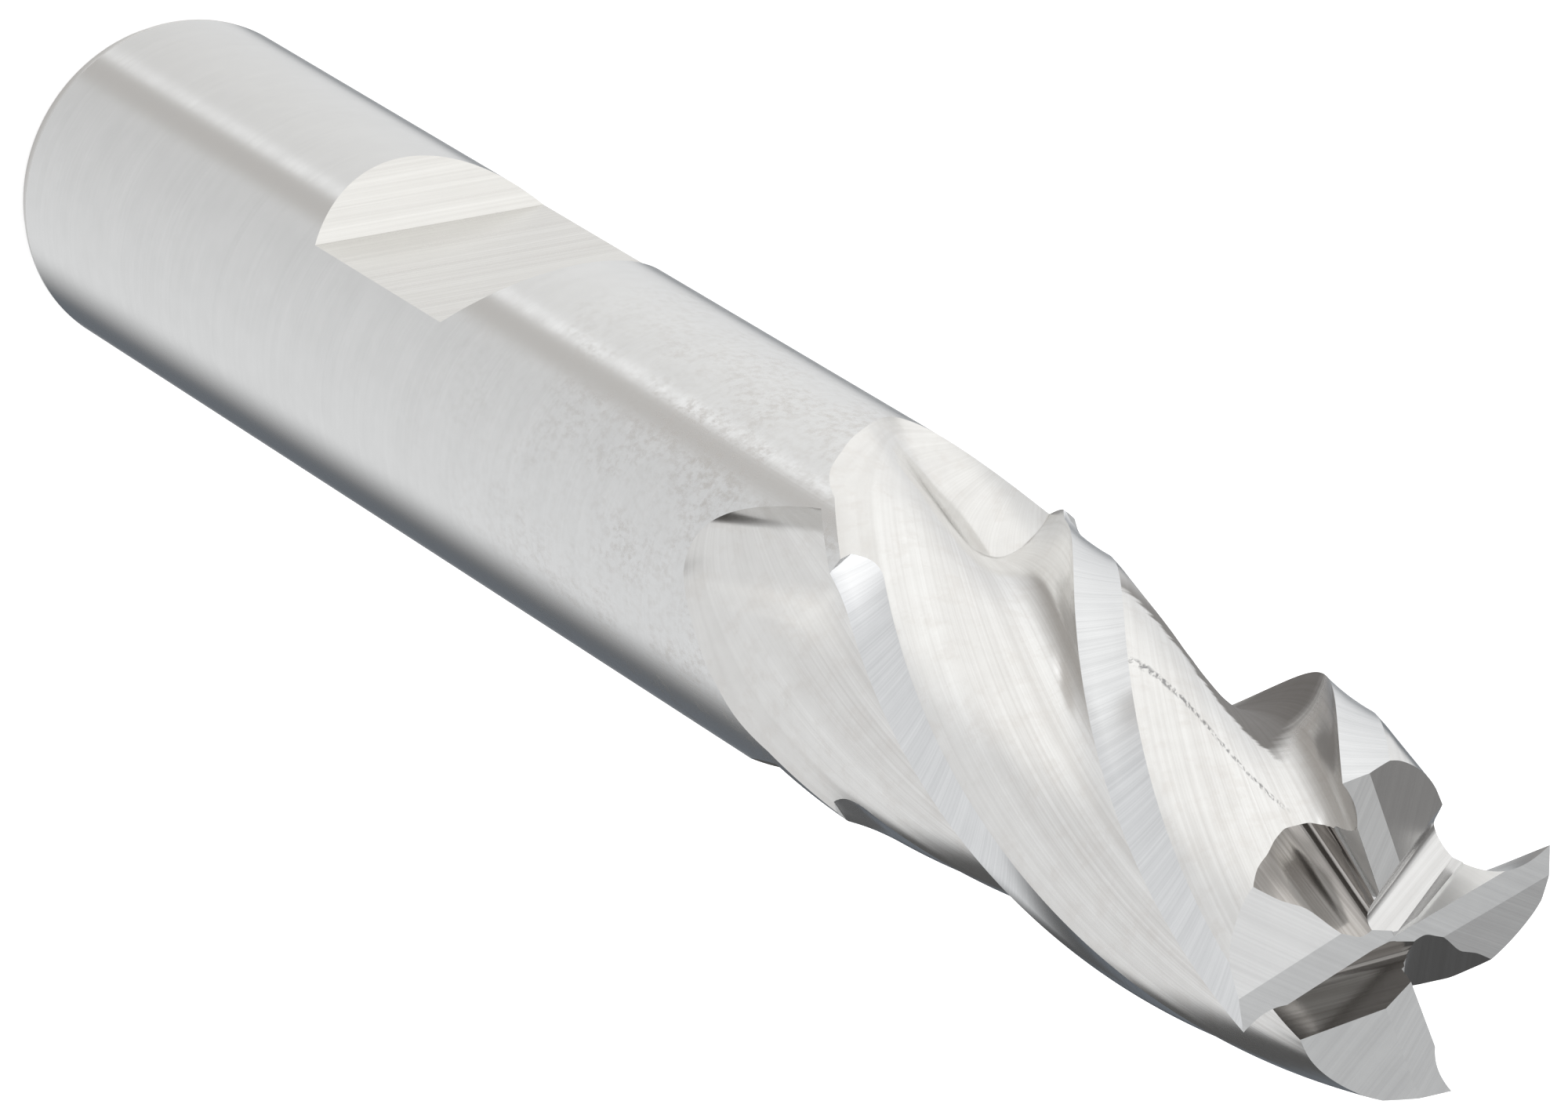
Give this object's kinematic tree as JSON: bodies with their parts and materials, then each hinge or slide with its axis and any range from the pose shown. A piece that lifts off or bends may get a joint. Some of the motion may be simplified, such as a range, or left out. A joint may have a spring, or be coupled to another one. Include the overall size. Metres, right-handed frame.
{
  "type": "end mill",
  "caption": "Right-hand, centre-cutting square end mill with helical flutes, ground end teeth and a round shank with a side-lock flat.",
  "frame": {"origin": "centre of the shank's end face", "axes": "+Z along the tool axis towards the cutting end; -Y is the way the locking flat faces"},
  "size_m": [0.01, 0.01, 0.069],
  "materials": {
    "shank_steel": "ground satin, lightly stained",
    "cutter_steel": "bright ground"
  },
  "bodies": {
    "root": {"shank": "shank_steel", "fluted_cutter": "cutter_steel"}
  },
  "joints": []
}
